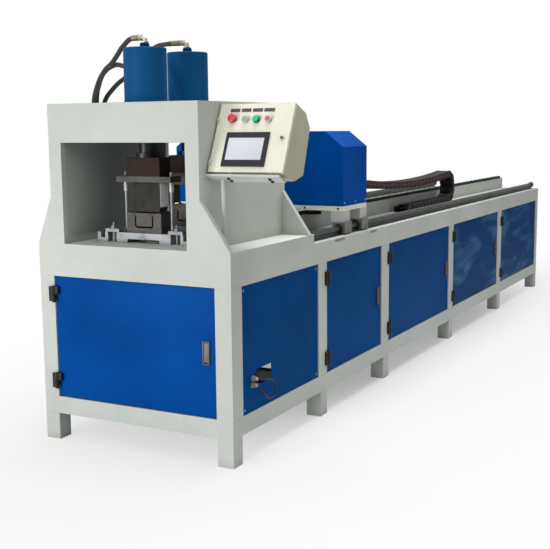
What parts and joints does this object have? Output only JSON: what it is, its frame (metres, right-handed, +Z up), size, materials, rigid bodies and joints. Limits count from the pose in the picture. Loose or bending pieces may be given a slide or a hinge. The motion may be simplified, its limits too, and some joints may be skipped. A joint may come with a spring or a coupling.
{
  "type": "automatic punching machine",
  "caption": "Hydraulic punching head with dies on a cabinet, a console at its side, and a long bed with a rack-driven feed carriage and drag chain.",
  "frame": {"origin": "on the floor, under the middle of the whole machine's box, console included", "axes": "+Z up, +Y from the punching head along the bed, +X towards the console side"},
  "size_m": [1.317, 5.576, 1.91],
  "materials": {
    "frame_paint": "light grey semi-gloss enamel",
    "door_blue": "deep blue gloss enamel",
    "cylinder_blue": "bright blue gloss enamel",
    "cream_paint": "cream powder coat",
    "ground_steel": "ground and lightly oiled",
    "tool_steel": "dark oiled tool steel",
    "rusty_steel": "dark steel with a reddish film of rust",
    "chromed": "polished",
    "black_iron": "black oxide",
    "brass_fitting": "zinc-yellow and brass fittings",
    "hose_rubber": "matt with a cloth-marked cover",
    "chain_plastic": "moulded nylon",
    "screen_dark": "dark grey bezel",
    "red_plastic": "glossy red",
    "green_plastic": "glossy green",
    "lamp_plastic": "translucent lens in a coloured ring"
  },
  "bodies": {
    "machine_frame": {"frame_uprights": "frame_paint", "side_rails": "frame_paint", "cross_rails": "frame_paint", "fixed_panels": "door_blue", "bed_deck": "frame_paint", "die_table": "frame_paint", "head_front_plate": "frame_paint", "head_back_plate": "frame_paint", "head_box": "frame_paint", "hinge_halves": "black_iron", "die_shoes": "ground_steel", "die_blocks": "tool_steel", "strap_clamps": "ground_steel", "cylinder_barrels": "cylinder_blue", "line_fittings": "brass_fitting", "hose_front_cap": "hose_rubber", "hose_front_rod": "hose_rubber", "hose_rear_cap": "hose_rubber", "sensor_cable": "hose_rubber", "console_housing": "cream_paint", "console_stand": "frame_paint", "bed_rails": "ground_steel", "beam_wall": "frame_paint", "gear_rack": "tool_steel", "chain_lower_run": "chain_plastic", "power_pack": "tool_steel", "control_box": "cream_paint"},
    "front_ram": {"front_piston_rod": "chromed", "front_punch_holder": "rusty_steel", "front_guide_plate": "ground_steel", "front_punch_block": "tool_steel"},
    "rear_ram": {"rear_piston_rod": "chromed", "rear_punch_holder": "rusty_steel", "rear_guide_plate": "ground_steel", "rear_punch_block": "tool_steel"},
    "cabinet_door": {"front_door": "door_blue"},
    "cabinet_latch": {"front_door_latch": "chromed"},
    "door_1": {"bay_door_1": "door_blue"},
    "latch_1": {"bay_latch_1": "chromed"},
    "door_2": {"bay_door_2": "door_blue"},
    "latch_2": {"bay_latch_2": "chromed"},
    "door_3": {"bay_door_3": "door_blue"},
    "latch_3": {"bay_latch_3": "chromed"},
    "door_4": {"bay_door_4": "door_blue"},
    "latch_4": {"bay_latch_4": "chromed"},
    "console_front": {"console_door": "cream_paint", "touch_screen": "screen_dark"},
    "estop": {"estop_button": "red_plastic"},
    "lamp_left": {"lamp_button_left": "lamp_plastic"},
    "start": {"start_button": "green_plastic"},
    "lamp_right": {"lamp_button_right": "lamp_plastic"},
    "key": {"key_lock": "chromed"},
    "carriage": {"carriage_base": "cream_paint", "carriage_cover": "cylinder_blue", "bearing_blocks": "ground_steel", "servo_motor": "black_iron", "chain_upper_run": "chain_plastic"},
    "feed_pinion": {"drive_pinion": "tool_steel"},
    "jaw": {"gripper_jaw": "tool_steel"},
    "bend": {"chain_bend": "chain_plastic"}
  },
  "joints": [
    {"name": "front_ram_slide", "type": "slide", "parent": "machine_frame", "child": "front_ram", "axis": [0, 0, 1], "range_m": [0, 0.07]},
    {"name": "rear_ram_slide", "type": "slide", "parent": "machine_frame", "child": "rear_ram", "axis": [0, 0, 1], "range_m": [0, 0.07]},
    {"name": "front_door_hinge", "type": "hinge", "parent": "machine_frame", "child": "cabinet_door", "pos_m": [-0.531, -2.779, 0.507], "axis": [0, 0, -1], "range_deg": [0, 100]},
    {"name": "front_latch_lift", "type": "hinge", "parent": "cabinet_door", "child": "cabinet_latch", "pos_m": [0.305, -2.768, 0.551], "axis": [-1, 0, 0], "range_deg": [0, 30]},
    {"name": "bay_door_1_hinge", "type": "hinge", "parent": "machine_frame", "child": "door_1", "pos_m": [0.447, -1.8, 0.507], "axis": [0, 0, -1], "range_deg": [0, 100]},
    {"name": "bay_latch_1_lift", "type": "hinge", "parent": "door_1", "child": "latch_1", "pos_m": [0.436, -1.093, 0.551], "axis": [0, -1, 0], "range_deg": [0, 30]},
    {"name": "bay_door_2_hinge", "type": "hinge", "parent": "machine_frame", "child": "door_2", "pos_m": [0.447, -0.929, 0.507], "axis": [0, 0, -1], "range_deg": [0, 100]},
    {"name": "bay_latch_2_lift", "type": "hinge", "parent": "door_2", "child": "latch_2", "pos_m": [0.436, 0.154, 0.551], "axis": [0, -1, 0], "range_deg": [0, 30]},
    {"name": "bay_door_3_hinge", "type": "hinge", "parent": "machine_frame", "child": "door_3", "pos_m": [0.447, 0.302, 0.507], "axis": [0, 0, -1], "range_deg": [0, 100]},
    {"name": "bay_latch_3_lift", "type": "hinge", "parent": "door_3", "child": "latch_3", "pos_m": [0.436, 1.399, 0.551], "axis": [0, -1, 0], "range_deg": [0, 30]},
    {"name": "bay_door_4_hinge", "type": "hinge", "parent": "machine_frame", "child": "door_4", "pos_m": [0.447, 1.551, 0.507], "axis": [0, 0, -1], "range_deg": [0, 100]},
    {"name": "bay_latch_4_lift", "type": "hinge", "parent": "door_4", "child": "latch_4", "pos_m": [0.436, 2.667, 0.551], "axis": [0, -1, 0], "range_deg": [0, 30]},
    {"name": "console_door_hinge", "type": "hinge", "parent": "machine_frame", "child": "console_front", "pos_m": [0.2956, -2.6531, 1.43641], "axis": [0, -0.4067, -0.9135], "range_deg": [0, 70]},
    {"name": "estop_press", "type": "slide", "parent": "console_front", "child": "estop", "axis": [0, 0.9135, -0.4067], "range_m": [0, 0.005], "stiffness_N_per_m": 600, "springref_m": -0.003},
    {"name": "lamp_left_press", "type": "slide", "parent": "console_front", "child": "lamp_left", "axis": [0, 0.9135, -0.4067], "range_m": [0, 0.004], "stiffness_N_per_m": 400, "springref_m": -0.003},
    {"name": "start_press", "type": "slide", "parent": "console_front", "child": "start", "axis": [0, 0.9135, -0.4067], "range_m": [0, 0.004], "stiffness_N_per_m": 400, "springref_m": -0.003},
    {"name": "lamp_right_press", "type": "slide", "parent": "console_front", "child": "lamp_right", "axis": [0, 0.9135, -0.4067], "range_m": [0, 0.004], "stiffness_N_per_m": 400, "springref_m": -0.003},
    {"name": "key_turn", "type": "hinge", "parent": "console_front", "child": "key", "pos_m": [0.627, -2.64796, 1.4396], "axis": [0, 0.9135, -0.4067], "range_deg": [0, 90]},
    {"name": "carriage_slide", "type": "slide", "parent": "machine_frame", "child": "carriage", "axis": [0, 1, 0], "range_m": [0, 3.5], "deforming": ["chain_upper_run"]},
    {"name": "pinion_spin", "type": "hinge", "parent": "carriage", "child": "feed_pinion", "pos_m": [0.145, -1.35, 1.008], "axis": [0, 0, 1], "range_deg": [-10, 5030]},
    {"name": "chain_bend_slide", "type": "slide", "parent": "machine_frame", "child": "bend", "axis": [0, 1, 0], "range_m": [0, 1.75], "deforming": ["chain_lower_run"]},
    {"name": "jaw_slide", "type": "slide", "parent": "carriage", "child": "jaw", "axis": [0, 0, -1], "range_m": [0, 0.03], "stiffness_N_per_m": 2000, "springref_m": -0.02}
  ],
  "couplings": [
    {"joint": "pinion_spin", "follows": "carriage_slide", "rad_per_m": 25},
    {"joint": "chain_bend_slide", "follows": "carriage_slide", "ratio": 0.5}
  ]
}
